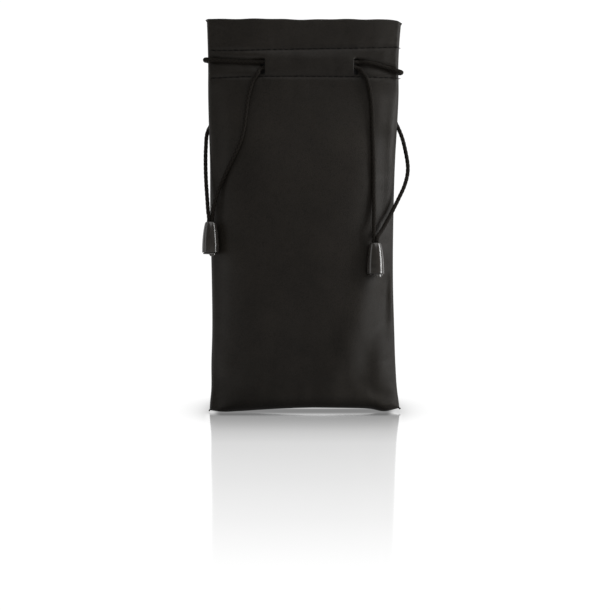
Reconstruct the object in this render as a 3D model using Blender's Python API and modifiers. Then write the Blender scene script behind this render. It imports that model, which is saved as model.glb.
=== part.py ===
"""Soft pouch glasses case with two drawstrings.

A flat leatherette pouch, sewn from a front and a back panel, stands on its bottom seam with its mouth
up. The top of each panel is folded in and stitched twice, which makes a channel with two slits. Each
drawstring runs once round the mouth, and its two ends hang down one side into a bell-shaped cord end.

Metres, +Z up, the front faces -Y. The origin is the middle of the footprint, on the ground.
"""

import math

import bmesh
import bpy
from mathutils import Vector

MM = 0.001

# The pouch. FLAT_WIDTH is its width when it lies flat and empty; HEIGHT is from the ground to the mouth.
FLAT_WIDTH = 91 * MM
HEIGHT = 180 * MM
FABRIC = 0.8 * MM
CLEAR = 0.3 * MM
SEAM_EASE = 0.1 * MM
SECTION_POWER = 3.0
WIDTH_LOSS = 0.9
# How far each face stands out from the middle plane at its centre line, at these heights.
BULGE_AT = [
    (0 * MM, 12.0 * MM),
    (25 * MM, 13.4 * MM),
    (60 * MM, 14.3 * MM),
    (100 * MM, 13.0 * MM),
    (150 * MM, 8.6 * MM),
    (180 * MM, 7.2 * MM),
]
# The pouch stands on both ends of its base, and the middle is pulled up a little.
ARCH_HEIGHT = 2.2 * MM
ARCH_FLAT_TO = 10 * MM
FOOT_FROM = 25 * MM
BASE_CORNER = 1.8 * MM

# The folded top band and its drawstring channel.
HEM_END = 151.0 * MM
LOWER_STITCH = 152.8 * MM
UPPER_STITCH = 165.8 * MM
CHANNEL_PUFF = 1.1 * MM
CHANNEL_FROM, CHANNEL_FULL_FROM = 153.8 * MM, 155.6 * MM
CHANNEL_FULL_TO, CHANNEL_TO = 161.0 * MM, 164.2 * MM
BAND_FROM = 145.0 * MM
FOLD_RADIUS = FABRIC + CLEAR / 2
# Each slit opens from its inner edge towards the side of the pouch.
SLIT_WIDTH = 6.2 * MM
SLIT_Z = (155.5 * MM, 161.1 * MM)
SLIT_RUN_IN = 0.8 * MM
SLIT_INNER_X = {"left": -17.5 * MM, "right": 23.1 * MM}

# The drawstrings. The right one lies above the left one in the channel.
CORD_DIAMETER = 1.8 * MM
CORD_Z = {"left": 157.1 * MM, "right": 159.4 * MM}
ON_CLOTH = CORD_DIAMETER / 2 + CLEAR
CORD_STEP = 3.0 * MM
STITCH_THREAD = 0.5 * MM

# The bell-shaped cord ends, by the top of the bell.
BELL_TOP = {
    "left": Vector((-42.6, -6.2, 87.0)) * MM,
    "right": Vector((33.1, -12.2, 77.4)) * MM,
}
BELL_LENGTH = 14.4 * MM
BELL_RADIUS = 3.9 * MM
BELL_MOUTH_RADIUS = 3.2 * MM
BELL_HOLE_RADIUS = 1.9 * MM
KNOT_NECK_RADIUS = 1.55 * MM
TURN_STEPS = 20

# The free ends of the drawstrings, from slit to bell, as (x, z, lift) in millimetres. A lift is how far
# the cord's middle stands off the cloth beneath it.
FRONT_STRAND = {
    "left": [
        (-24.6, 153.8, 2.0),
        (-25.5, 149.6, 1.9),
        (-26.2, 143.0, 1.2),
        (-26.7, 136.0, 1.2),
        (-28.0, 128.0, 1.2),
        (-30.4, 119.0, 1.3),
        (-34.6, 111.0, 1.5),
        (-38.4, 104.0, 2.0),
        (-41.0, 96.0, 3.4),
    ],
    "right": [
        (30.2, 150.6, 2.1),
        (31.0, 145.0, 1.3),
        (31.7, 137.0, 1.2),
        (32.0, 127.0, 1.2),
        (32.0, 115.0, 1.2),
        (32.0, 102.0, 1.3),
        (32.2, 90.0, 2.2),
        (32.2, 83.0, 3.6),
    ],
}
# The free end that comes out of the back slit, down the back of the pouch.
BACK_STRAND = {
    "left": [
        (-28.5, 149.0, 2.0),
        (-35.0, 143.0, 1.4),
        (-40.0, 136.0, 1.3),
    ],
    "right": [
        (31.6, 150.6, 2.2),
        (35.4, 146.0, 1.5),
        (39.8, 138.5, 1.3),
    ],
}
# Then round the pouch's edge to the bell, as (x, y, z) in millimetres.
EDGE_STRAND = {
    "left": [
        (-43.9, 2.6, 129.0),
        (-45.0, 1.6, 121.5),
        (-45.2, -0.5, 113.5),
        (-44.9, -2.9, 105.5),
        (-44.3, -4.4, 98.0),
        (-43.8, -5.3, 91.5),
    ],
    "right": [
        (44.2, 2.0, 129.0),
        (46.6, 0.8, 121.5),
        (48.2, -0.2, 112.0),
        (46.8, -1.4, 104.5),
        (43.6, -3.4, 97.0),
        (39.6, -6.6, 89.3),
        (36.0, -9.8, 82.8),
    ],
}


def smooth_step(share):
    """0 below 0, 1 above 1, and an even curve between."""
    share = min(max(share, 0.0), 1.0)
    return share * share * (3 - 2 * share)


def bulge(z):
    """How far a face's centre line stands out at height z, on a smooth curve through BULGE_AT."""
    z = min(max(z, BULGE_AT[0][0]), BULGE_AT[-1][0])
    span = max(i for i in range(len(BULGE_AT) - 1) if BULGE_AT[i][0] <= z)

    def slope(i):
        before, after = BULGE_AT[max(i - 1, 0)], BULGE_AT[min(i + 1, len(BULGE_AT) - 1)]
        return (after[1] - before[1]) / (after[0] - before[0])

    (z0, b0), (z1, b1) = BULGE_AT[span], BULGE_AT[span + 1]
    length = z1 - z0
    t = (z - z0) / length
    return (
        (2 * t**3 - 3 * t**2 + 1) * b0
        + (t**3 - 2 * t**2 + t) * length * slope(span)
        + (3 * t**2 - 2 * t**3) * b1
        + (t**3 - t**2) * length * slope(span + 1)
    )


def half_width(z):
    """Half the pouch's width at height z: cloth that bulges out leaves less width."""
    half_flat = FLAT_WIDTH / 2
    return half_flat * (1 - WIDTH_LOSS * (bulge(z) / half_flat) ** 2)


def edge_depth(z):
    """How far the cloth stands off the middle plane at the side seam: one layer, or two in the band."""
    single = FABRIC + CLEAR / 2 + SEAM_EASE
    double = 2 * FABRIC + 1.5 * CLEAR + SEAM_EASE
    return single + (double - single) * smooth_step((z - BAND_FROM) / (HEM_END - BAND_FROM))


def face_depth(u, z):
    """The outer face's distance from the middle plane, u being -1 and 1 at the two side seams."""
    edge = edge_depth(z)
    return edge + (bulge(z) - edge) * (1 - abs(u) ** SECTION_POWER)


def channel_puff(u, z):
    """How far the drawstrings push each layer of the band out of its place. They don't reach the side seams."""
    rise = smooth_step((z - CHANNEL_FROM) / (CHANNEL_FULL_FROM - CHANNEL_FROM))
    fall = smooth_step((CHANNEL_TO - z) / (CHANNEL_TO - CHANNEL_FULL_TO))
    return CHANNEL_PUFF * min(rise, fall) * smooth_step((0.88 - abs(u)) / 0.2)


def base_height(x):
    """The height of the pouch's underside at x."""
    return ARCH_HEIGHT * smooth_step((FOOT_FROM - abs(x)) / (FOOT_FROM - ARCH_FLAT_TO))


def cloth_y(x, z, side):
    """The y of the outer cloth at (x, z): side is -1 on the front and 1 on the back."""
    u = min(max(x / half_width(z), -1.0), 1.0)
    return side * (face_depth(u, z) + channel_puff(u, z))


def panel_section(u):
    """The closed outline of a panel at u, as (depth, z): bottom seam, face, fold and hem, then back inside."""
    base = base_height(u * half_width(0))
    corner = min(BASE_CORNER, 0.6 * face_depth(u, 0))
    front = face_depth(u, base + corner)
    seam = CLEAR / 2
    inner = min(max(corner - FABRIC, 0.1 * corner), 0.7 * (front - FABRIC - seam))
    outside = [(seam, base)]
    inside = [(seam, base + FABRIC)]
    for degrees in (0, 45, 90):
        turn = math.radians(degrees)
        reach, rise = corner * math.sin(turn), corner * (1 - math.cos(turn))
        outside.append((front - corner + reach, base + rise))
        reach, rise = inner * math.sin(turn), inner * (1 - math.cos(turn))
        inside.append((front - FABRIC - inner + reach, base + FABRIC + rise))
    for z in [12, 24, 40, 58, 76, 94, 112, 130, 144, 150]:
        outside.append((face_depth(u, z * MM), z * MM))
        inside.append((face_depth(u, z * MM) - FABRIC, z * MM))
    band = [
        LOWER_STITCH,
        CHANNEL_FROM,
        CHANNEL_FULL_FROM,
        CHANNEL_FULL_TO,
        CHANNEL_TO,
        UPPER_STITCH,
        173.0 * MM,
        HEIGHT - FOLD_RADIUS,
    ]
    for z in band:
        face = face_depth(u, z)
        outside.append((face + channel_puff(u, z), z))
        inside.append((face + channel_puff(u, z) - FABRIC, z))
    top = face_depth(u, HEIGHT - FOLD_RADIUS) - FOLD_RADIUS
    for degrees in (45, 90, 135):
        turn = math.radians(degrees)
        along, up = math.cos(turn), math.sin(turn)
        outside.append((top + FOLD_RADIUS * along, HEIGHT - FOLD_RADIUS + FOLD_RADIUS * up))
        fold = FOLD_RADIUS - FABRIC
        inside.append((top + fold * along, HEIGHT - FOLD_RADIUS + fold * up))
    for z in [*reversed(band), HEM_END]:
        face = face_depth(u, z)
        outside.append((face - channel_puff(u, z) - 2 * FOLD_RADIUS, z))
        inside.append((face - channel_puff(u, z) - 2 * FOLD_RADIUS + FABRIC, z))
    return outside + inside[::-1]


def make_material(name, colour, roughness, metallic=0.0):
    material = bpy.data.materials.new(name)
    material.use_nodes = True
    shader = material.node_tree.nodes["Principled BSDF"]
    shader.inputs["Base Color"].default_value = (*colour, 1.0)
    shader.inputs["Roughness"].default_value = roughness
    shader.inputs["Metallic"].default_value = metallic
    return material


def place(name, mesh, material, collection):
    piece = bpy.data.objects.new(name, mesh)
    mesh.materials.append(material)
    collection.objects.link(piece)
    return piece


def loft(name, rings, material, collection):
    """A closed body through rings of equally many points. Faces across the ring close each end."""
    made = bmesh.new()
    rows = [[made.verts.new(point) for point in ring] for ring in rings]
    count = len(rows[0])
    for near, far in zip(rows, rows[1:]):
        for i in range(count):
            j = (i + 1) % count
            made.faces.new((near[i], near[j], far[j], far[i]))
    for end in (rows[0], rows[-1]):
        for i in range(count // 2 - 1):
            made.faces.new((end[i], end[i + 1], end[count - 2 - i], end[count - 1 - i]))
    bmesh.ops.recalc_face_normals(made, faces=made.faces)
    mesh = bpy.data.meshes.new(name)
    made.to_mesh(mesh)
    made.free()
    return place(name, mesh, material, collection)


def make_panel(name, side, material, collection, cutters):
    """A front or back panel: one piece of cloth from the bottom seam, up the face and folded over into the hem."""
    columns = 16
    rings = []
    for column in range(columns + 1):
        u = -1 + 2 * column / columns
        rings.append([(u * half_width(z), side * depth, z) for depth, z in panel_section(u)])
    panel = loft(name, rings, material, collection)
    panel.data.shade_smooth()
    panel.data.set_sharp_from_angle(angle=math.radians(40))
    for slit, inner_x in SLIT_INNER_X.items():
        cut_slit(panel, slit, inner_x, side, cutters)
    return panel


def cut_slit(panel, slit, inner_x, side, cutters):
    """A slit through the outer layer of the band only."""
    away = math.copysign(1.0, inner_x)
    x = inner_x + away * SLIT_WIDTH / 2
    z = sum(SLIT_Z) / 2
    gap_middle = cloth_y(x, z, side) - side * (CHANNEL_PUFF + FOLD_RADIUS)
    depth = 6 * MM
    bpy.ops.mesh.primitive_cube_add(size=1, location=(x, gap_middle + side * depth / 2, z))
    cutter = bpy.context.object
    cutter.name = f"{panel.name}_{slit}_slit_cutter"
    cutter.scale = (SLIT_WIDTH, depth, SLIT_Z[1] - SLIT_Z[0])
    cutter.hide_render = True
    cutter.display_type = "WIRE"
    for holder in cutter.users_collection:
        holder.objects.unlink(cutter)
    cutters.objects.link(cutter)
    cut = panel.modifiers.new(f"{slit}_slit", "BOOLEAN")
    cut.operation = "DIFFERENCE"
    cut.object = cutter


def make_side_allowance(name, away, material, collection):
    """The edges of both panels, turned in and sewn together along a side seam."""
    rings = []
    inset, width, half_thick = 3.4 * MM, 4.0 * MM, 0.75 * MM
    for step in range(13):
        z = (6.0 + step * 139.0 / 12) * MM
        outer = away * (half_width(z) - inset)
        inner = outer - away * width
        rings.append(
            [(outer, -half_thick, z), (inner, -half_thick, z), (inner, half_thick, z), (outer, half_thick, z)]
        )
    return loft(name, rings, material, collection)


def make_bottom_allowance(material, collection):
    """The edges of both panels, turned up and sewn together along the bottom seam."""
    rings = []
    height, half_thick = 4.0 * MM, 0.75 * MM
    for step in range(17):
        x = (-34.0 + 68.0 * step / 16) * MM
        low = base_height(x) + FABRIC + CLEAR
        rings.append(
            [(x, -half_thick, low), (x, half_thick, low), (x, half_thick, low + height), (x, -half_thick, low + height)]
        )
    return loft("bottom_seam_allowance", rings, material, collection)


def smooth_route(points):
    """The points of an even Catmull-Rom curve through the given ones, CORD_STEP apart."""
    points = [Vector(p) for p in points]
    padded = [2 * points[0] - points[1], *points, 2 * points[-1] - points[-2]]
    fine = [points[0]]
    for i in range(1, len(padded) - 2):
        a, b, c, d = padded[i - 1 : i + 3]
        for part in range(1, 13):
            t = part / 12
            fine.append(
                0.5 * (2 * b + (c - a) * t + (2 * a - 5 * b + 4 * c - d) * t**2 + (3 * b - a - 3 * c + d) * t**3)
            )
    along = [0.0]
    for a, b in zip(fine, fine[1:]):
        along.append(along[-1] + (b - a).length)
    count = max(2, round(along[-1] / CORD_STEP))
    route, i = [], 0
    for step in range(count + 1):
        wanted = along[-1] * step / count
        while i < len(along) - 2 and along[i + 1] < wanted:
            i += 1
        share = (wanted - along[i]) / max(along[i + 1] - along[i], 1e-9)
        route.append(fine[i].lerp(fine[i + 1], share))
    return route


def make_tube(name, route, diameter, material, collection):
    curve = bpy.data.curves.new(name, "CURVE")
    curve.dimensions = "3D"
    curve.bevel_depth = diameter / 2
    curve.bevel_resolution = 2
    curve.use_fill_caps = True
    line = curve.splines.new("POLY")
    line.points.add(len(route) - 1)
    for point, at in zip(line.points, route):
        point.co = (*at, 1.0)
    tube = bpy.data.objects.new(name, curve)
    curve.materials.append(material)
    collection.objects.link(tube)
    return tube


def on_cloth(x_mm, z_mm, lift_mm, side):
    """A cord's middle, lift_mm off the outer cloth at (x, z)."""
    x, z = x_mm * MM, z_mm * MM
    return Vector((x, cloth_y(x, z, side) + side * lift_mm * MM, z))


def in_channel(x, z, side):
    """A cord's middle between the two layers of the band."""
    u = x / half_width(z)
    return Vector((x, side * (face_depth(u, z) - FOLD_RADIUS), z))


def slit_exit(cord, slit, side):
    """Three points that take a cord from the channel out through a slit, at the cord's own height."""
    x, z = SLIT_INNER_X[slit], CORD_Z[cord]
    away = math.copysign(1.0, x)
    outside = x + away * (SLIT_WIDTH + 0.4 * MM)
    return [
        in_channel(x - away * SLIT_RUN_IN, z, side),
        in_channel(x + away * 3.3 * MM, z, side) + Vector((0, side * 1.45 * MM, 0)),
        Vector((outside, cloth_y(outside, z, side) + side * 1.6 * MM, z)),
    ]


def channel_route(cord, side, start, end):
    """A cord's middle along the channel between two slits, start and end not included."""
    first = SLIT_INNER_X[start] - math.copysign(SLIT_RUN_IN, SLIT_INNER_X[start])
    last = SLIT_INNER_X[end] - math.copysign(SLIT_RUN_IN, SLIT_INNER_X[end])
    return [in_channel(first + (last - first) * i / 5, CORD_Z[cord], side) for i in range(1, 5)]


def bypass_route(cord, slit):
    """A cord's middle from a front slit round the side seam to the back slit, sagging a little at the seam."""
    away = math.copysign(1.0, SLIT_INNER_X[slit])
    start = abs(SLIT_INNER_X[slit]) + SLIT_WIDTH + 0.4 * MM
    z, sag = CORD_Z[cord], {"left": 0.6, "right": 2.2}[slit] * MM
    edge = half_width(z)
    route = []
    for side in (-1, 1):
        span = []
        for share, lift in ((0.3, 0.0), (0.6, 0.2 * MM), (0.82, 0.7 * MM)):
            x = away * (start + (edge - start) * share)
            low = z - sag * share**2
            span.append(Vector((x, cloth_y(x, low, side) + side * (ON_CLOTH + lift), low)))
        corner = edge_depth(z) + 1.2 * MM
        span.append(Vector((away * (edge + 1.1 * MM), side * corner, z - sag)))
        route += span if side < 0 else [Vector((away * (edge + 1.5 * MM), 0, z - sag))] + span[::-1]
    return route


def make_drawstring(cord, material, collection):
    """One drawstring in three lengths: its loop round the mouth, and its two free ends."""
    other = "right" if cord == "left" else "left"
    front_start, back_start = slit_exit(cord, cord, -1), slit_exit(cord, cord, 1)
    loop = [
        *front_start[:1],
        *channel_route(cord, -1, cord, other),
        *slit_exit(cord, other, -1),
        *bypass_route(cord, other),
        *slit_exit(cord, other, 1)[::-1],
        *channel_route(cord, 1, other, cord),
        *back_start[:1],
    ]
    top = BELL_TOP[cord]
    strand_x = 0.95 * MM
    away = -1 if cord == "left" else 1
    inner_end = Vector((top.x - away * strand_x, top.y, top.z + CLEAR))
    outer_end = Vector((top.x + away * strand_x, top.y, top.z + CLEAR))
    above = Vector((0, 0, 2.2 * MM))
    ends = {
        -1: [*(on_cloth(*p, -1) for p in FRONT_STRAND[cord]), inner_end + above, inner_end],
        1: [
            *(on_cloth(*p, 1) for p in BACK_STRAND[cord]),
            *(Vector(p) * MM for p in EDGE_STRAND[cord]),
            outer_end + above,
            outer_end,
        ],
    }
    starts = {-1: front_start, 1: back_start}
    if cord == "right":
        for side, start in starts.items():
            over = on_cloth(27.8, 158.7, 2.6, side)
            starts[side] = [*start[:2], over, on_cloth(29.3, 155.1, 3.3, side)]
    front, back = starts[-1] + ends[-1], starts[1] + ends[1]
    pieces = {"loop": smooth_route(loop), "front_strand": smooth_route(front), "back_strand": smooth_route(back)}
    for part in ("front_strand", "back_strand"):
        pieces[part][0] = pieces[part][0].lerp(pieces[part][1], CLEAR / CORD_STEP * 1.4)
    for part, route in pieces.items():
        make_tube(f"{cord}_cord_{part}", route, CORD_DIAMETER, material, collection)


def make_stitch_row(name, side, z, material, collection):
    """A row of thread across one face, on the outer cloth."""
    reach = half_width(z) - 1.0 * MM
    route = []
    for step in range(21):
        x = -reach + 2 * reach * step / 20
        route.append(Vector((x, cloth_y(x, z, side) + side * (STITCH_THREAD / 2 + CLEAR), z)))
    make_tube(name, route, STITCH_THREAD, material, collection)


def make_turned(name, profile, centre, material, collection):
    """A body turned about the vertical through centre, from its closed or axis-to-axis profile of (radius, z)."""
    mesh = bpy.data.meshes.new(name)
    closed = profile[0][0] > 0
    edges = [(i, i + 1) for i in range(len(profile) - 1)]
    if closed:
        edges.append((len(profile) - 1, 0))
    mesh.from_pydata([(r, 0, z) for r, z in profile], edges, [])
    piece = place(name, mesh, material, collection)
    piece.location = centre
    turn = piece.modifiers.new("turn", "SCREW")
    turn.steps = turn.render_steps = TURN_STEPS
    turn.use_merge_vertices = True
    turn.merge_threshold = 1e-5
    turn.use_smooth_shade = True
    return piece


def make_bell(cord, material, collection):
    """The hollow bell: a hole at the top for the two cord ends, open underneath."""
    outside = []
    for step in range(7):
        share = step / 6
        swell = (1 - (1 - share) ** 2.4) ** 0.5
        outside.append((2.35 * MM + (BELL_RADIUS - 2.35 * MM) * swell, -0.5 * MM - (BELL_LENGTH - 0.5 * MM) * share))
    profile = [
        (BELL_HOLE_RADIUS, 0.0),
        (2.05 * MM, 0.0),
        *outside,
        (BELL_MOUTH_RADIUS, -BELL_LENGTH),
        (BELL_MOUTH_RADIUS, -7.0 * MM),
        (BELL_MOUTH_RADIUS - 0.25 * MM, -3.6 * MM),
        (BELL_HOLE_RADIUS, -2.0 * MM),
    ]
    return make_turned(f"{cord}_bell", profile, BELL_TOP[cord], material, collection)


def make_cap(cord, material, collection):
    """The cap that snaps into the bell's mouth: a plug, a rim, and a small tab to lever it out."""
    plug, rim = BELL_MOUTH_RADIUS - CLEAR, BELL_RADIUS - 0.4 * MM
    rim_top = -BELL_LENGTH - CLEAR
    profile = [
        (0.0, rim_top + 2.4 * MM),
        (plug - 0.3 * MM, rim_top + 2.4 * MM),
        (plug, rim_top + 2.1 * MM),
        (plug, rim_top),
        (rim, rim_top),
        (rim, rim_top - 0.5 * MM),
        (rim - 0.3 * MM, rim_top - 0.8 * MM),
        (0.0, rim_top - 0.8 * MM),
    ]
    cap = make_turned(f"{cord}_bell_cap", profile, BELL_TOP[cord], material, collection)
    bpy.ops.mesh.primitive_cube_add(size=1, location=BELL_TOP[cord] + Vector((2.3 * MM, 0, rim_top - 0.75 * MM)))
    tab = bpy.context.object
    tab.name = f"{cord}_cap_tab"
    tab.scale = (1.5 * MM, 2.0 * MM, 1.1 * MM)
    tab.hide_render = True
    tab.display_type = "WIRE"
    join = cap.modifiers.new("tab", "BOOLEAN")
    join.operation = "UNION"
    join.object = tab
    return cap


def make_knot(cord, material, collection):
    """The knotted ends of the drawstring inside the bell, with the two cords' neck in its hole."""
    profile = [(0.0, 0.0), (KNOT_NECK_RADIUS, 0.0), (KNOT_NECK_RADIUS, -3.0 * MM)]
    for degrees in range(60, -91, -30):
        turn = math.radians(degrees)
        profile.append((2.2 * MM * math.cos(turn), -5.6 * MM + 2.6 * MM * math.sin(turn)))
    profile[-1] = (0.0, profile[-1][1])
    return make_turned(f"{cord}_cord_knot", profile, BELL_TOP[cord], material, collection)


def main():
    for old in list(bpy.data.objects):
        bpy.data.objects.remove(old)
    scene = bpy.context.scene
    parts = bpy.data.collections.new("soft_glasses_pouch")
    cutters = bpy.data.collections.new("cutters")
    scene.collection.children.link(parts)
    scene.collection.children.link(cutters)

    leatherette = make_material("leatherette", (0.016, 0.015, 0.013), 0.6)
    thread = make_material("thread", (0.008, 0.008, 0.008), 0.7)
    cord = make_material("cord", (0.012, 0.010, 0.009), 0.8)
    plastic = make_material("cord_end_plastic", (0.03, 0.03, 0.03), 0.3)

    for face, side in (("front", -1), ("back", 1)):
        make_panel(f"{face}_panel", side, leatherette, parts, cutters)
        make_stitch_row(f"{face}_lower_stitching", side, LOWER_STITCH, thread, parts)
        make_stitch_row(f"{face}_upper_stitching", side, UPPER_STITCH, thread, parts)
    make_side_allowance("left_seam_allowance", -1, leatherette, parts)
    make_side_allowance("right_seam_allowance", 1, leatherette, parts)
    make_bottom_allowance(leatherette, parts)
    for name in ("left", "right"):
        make_drawstring(name, cord, parts)
        make_bell(name, plastic, parts)
        make_cap(name, plastic, parts)
        make_knot(name, cord, parts)


main()
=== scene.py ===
"""Looks of the drawstring glasses pouch: leatherette panels, stitching, braided cords and cord ends.

Lengths in the shape functions are millimetres; meshes are written in metres. The front faces -Y.
"""
import math
import bpy
import numpy as np
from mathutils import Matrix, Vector


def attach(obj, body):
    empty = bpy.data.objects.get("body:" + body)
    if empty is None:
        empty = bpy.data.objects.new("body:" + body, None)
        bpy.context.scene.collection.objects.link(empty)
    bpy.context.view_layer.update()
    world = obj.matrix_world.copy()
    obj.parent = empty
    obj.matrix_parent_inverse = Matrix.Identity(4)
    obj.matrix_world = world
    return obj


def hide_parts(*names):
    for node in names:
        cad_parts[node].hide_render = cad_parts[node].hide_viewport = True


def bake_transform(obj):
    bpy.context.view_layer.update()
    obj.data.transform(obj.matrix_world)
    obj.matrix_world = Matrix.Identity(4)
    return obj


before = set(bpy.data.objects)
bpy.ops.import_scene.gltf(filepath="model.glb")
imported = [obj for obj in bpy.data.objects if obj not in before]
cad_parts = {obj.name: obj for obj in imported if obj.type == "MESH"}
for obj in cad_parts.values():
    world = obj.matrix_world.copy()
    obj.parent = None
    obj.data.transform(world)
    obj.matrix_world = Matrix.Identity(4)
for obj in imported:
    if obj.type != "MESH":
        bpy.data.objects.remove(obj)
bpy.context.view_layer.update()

MM = 0.001

# The pouch's outline and thickness, as (height, half width or depth).
LEFT_EDGE = [(0, 43.2), (4, 43.0), (9, 42.5), (22, 42.4), (37, 42.0), (60, 42.2), (89, 42.9), (118, 43.1),
             (133, 43.6), (147, 43.9), (160, 43.9), (172, 44.2), (180, 44.5)]
RIGHT_EDGE = [(0, 44.3), (4, 43.9), (9, 43.2), (22, 42.3), (37, 41.8), (60, 41.2), (89, 41.4), (118, 42.3),
              (133, 43.2), (147, 43.8), (160, 43.7), (172, 44.3), (180, 44.9)]
BULGE = [(0, 11.6), (25, 13.2), (60, 14.1), (100, 12.9), (150, 8.7), (180, 7.3)]
HEIGHT = 180.0
FABRIC = 0.8
# The hem at the mouth: the radius of its fold, and where its inner layer ends.
FOLD_RADIUS = 0.95
HEM_END = 151.0
# Where the side seam starts to thicken towards the hem.
BAND_FROM = 145.0
STITCH_ROWS = {"lower": 153.0, "upper": 165.8}
# How far the upper row of stitching is from level, at x.
UPPER_LEAN = [(-44, 0.1), (-30, -0.5), (0, -0.3), (20, 0.2), (35, 0.8), (44, 1.4)]
# The drawstring channel's swelling: where it starts, is full, starts to fall and ends.
CHANNEL = (153.0, 157.5, 161.0, 165.6)
# The slits' places, width and heights.
SLITS = {"left": -17.5, "right": 23.1}
SLIT_OPEN = 1.9
SLIT_Z = (153.6, 160.8)
# A drawstring's height where it lies outside the cloth, at the slit and at the side seam.
BYPASS_Z = {"left": (159.7, 161.6), "right": (159.7, 155.9)}
# Where the two drawstrings cross in the channel.
CROSSING_X = 2.8
CORD_DIAMETER = 1.8
# How far off the cloth a drawstring's middle lies outside it, and how far inside the face in the channel.
CORD_LIFT, CORD_SINK = 0.75, 0.85
STRAND_Z = {"left": 157.1, "right": 157.5}
# The bottom seam's height at x: it stands on its two ends, and is pulled up between them.
BASE_LINE = [(-45, 0.9), (-42, 0.5), (-38, 0.0), (-30, 0.3), (-20, 1.1), (-8, 1.8), (20, 1.9), (31, 1.3),
             (37.5, 0.2), (41, 0.9), (45, 1.9)]
# The mouth's height at x.
MOUTH_LINE = [(-45, 0.7), (-40, 0.5), (-25, -0.1), (0, -0.5), (25, -0.3), (36, 0.0), (41, 0.0), (43, -0.3),
              (45, -1.1)]


# -------- shape functions

def smooth_step(share):
    share = np.clip(share, 0.0, 1.0)
    return share * share * (3 - 2 * share)


def through(points, at):
    """A smooth curve through (x, y) points, level beyond the ends."""
    xs, ys = (np.array(v, float) for v in zip(*points))
    at = np.clip(np.asarray(at, float), xs[0], xs[-1])
    slopes = np.gradient(ys, xs)
    i = np.clip(np.searchsorted(xs, at, side="right") - 1, 0, len(xs) - 2)
    step = xs[i + 1] - xs[i]
    t = (at - xs[i]) / step
    return ((2 * t**3 - 3 * t**2 + 1) * ys[i] + (t**3 - 2 * t**2 + t) * step * slopes[i]
            + (3 * t**2 - 2 * t**3) * ys[i + 1] + (t**3 - t**2) * step * slopes[i + 1])


def half_width(z, x):
    return np.where(np.asarray(x) < 0, through(LEFT_EDGE, z), through(RIGHT_EDGE, z))


def edge_depth(z):
    """How far out the face is at the side seam: one layer of cloth, or two at the hem."""
    single, double = FABRIC + 0.35, 2 * FABRIC + 0.55
    return single + (double - single) * smooth_step((z - BAND_FROM) / (HEM_END - BAND_FROM))


def plain_depth(x, z):
    """How far the face would be from the middle plane if it had no folds."""
    u = np.clip(np.abs(x) / half_width(z, x), 0, 1)
    edge = edge_depth(z)
    return edge + (through(BULGE, z) - edge) * (1 - u**3)


def fold_line(x, z, start, end, width, height):
    """A crease from start to end: height outwards, fading at both ends and across its width."""
    (x0, z0), (x1, z1) = start, end
    length = math.hypot(x1 - x0, z1 - z0)
    along = ((x - x0) * (x1 - x0) + (z - z0) * (z1 - z0)) / length**2
    across = ((x - x0) * (z1 - z0) - (z - z0) * (x1 - x0)) / length
    fade = smooth_step(along / 0.3) * smooth_step((1 - along) / 0.3)
    return height * fade * np.exp(-(across / width) ** 2)


# Creases of the front (-1) and the back (1): where they start and end (x, z), how wide and how high they are.
FOLDS = {-1: [
    ((42, 96), (6, -10), 6.5, 1.3),
    ((44, 78), (22, -2), 4.6, -1.05),
    ((47, 60), (32, 4), 4.2, 0.35),
    ((45, 50), (42, -4), 4.5, 0.8),
    ((42, 154), (42, 82), 4.5, 0.8),
    ((47, 1), (20, 16), 3.2, -0.7),
    ((-47, 1), (-28, 20), 3.2, -0.7),
    ((-46, 40), (-30, 10), 4.5, 0.5),
    ((-47, 88), (-26, 62), 5.0, 0.45),
    ((47, 108), (30, 74), 5.0, 0.7),
    ((-8, 92), (16, 58), 9.0, 0.35),
    ((-30, 140), (-12, 96), 8.0, 0.4),
    ((20, 150), (38, 118), 5.0, -0.35),
    ((-20, 150), (-40, 128), 4.5, -0.3),
], 1: [
    ((-47, 70), (-18, 18), 6.0, 1.2),
    ((-46, 50), (-30, 18), 3.8, -0.9),
    ((47, 52), (24, 12), 5.0, 0.9),
    ((46, 30), (34, 8), 2.6, -0.6),
    ((-47, 1), (-24, 18), 3.0, -0.8),
    ((47, 1), (26, 18), 3.0, -0.8),
    ((10, 96), (-16, 60), 9.0, 0.4),
    ((28, 138), (12, 92), 8.0, -0.35),
]}
# Where each seam and row of stitching gathers the cloth, from one end to the other, and how far apart.
PUCKERED = {"left": (4, 176, 8), "right": (4, 176, 8), "base": (-40, 40, 7), "lower": (-42, 42, 4.5),
            "upper": (-42, 42, 4.5)}
PUCKER_DEPTH = {"left": 0.5, "right": 0.5, "base": 0.6, "lower": 0.26, "upper": 0.26}


def puckers(rng, low, high, spacing):
    """Places, slants, widths, depths and reaches of the small folds that a seam gathers."""
    places, at = [], low + rng.uniform(0, spacing)
    while at < high:
        slant, width = rng.uniform(-0.5, 0.5), rng.uniform(0.9, 2.2)
        share, reach = rng.uniform(0.3, 1.0), rng.uniform(4, 11)
        places.append((at, slant, width, share, reach))
        at += spacing * rng.uniform(0.55, 1.5)
    return places


def gather(along, away, folds, depth):
    """Small folds across a seam: `along` it, fading with the distance `away` from it."""
    total = np.zeros(np.broadcast(along, away).shape)
    for at, slant, width, share, reach in folds:
        across = np.exp(-((along - at - slant * away) / width) ** 2)
        total -= depth * share * across * np.exp(-np.abs(away) / reach)
    return total


def seam_folds(seed):
    """One face's puckers at each seam, and the phases of its slow waves."""
    rng = np.random.default_rng(seed)
    folds = {name: puckers(rng, *reach) for name, reach in PUCKERED.items()}
    folds["waves"] = rng.uniform(0, 2 * math.pi, 6)
    return folds


SEAM_FOLDS = {-1: seam_folds(11), 1: seam_folds(23)}


# -------- simulated wrinkles

SIM_COLUMNS, SIM_ROWS = 61, 111
SIM_SCALE = 10.0
SIM_FRAMES = 30
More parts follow.
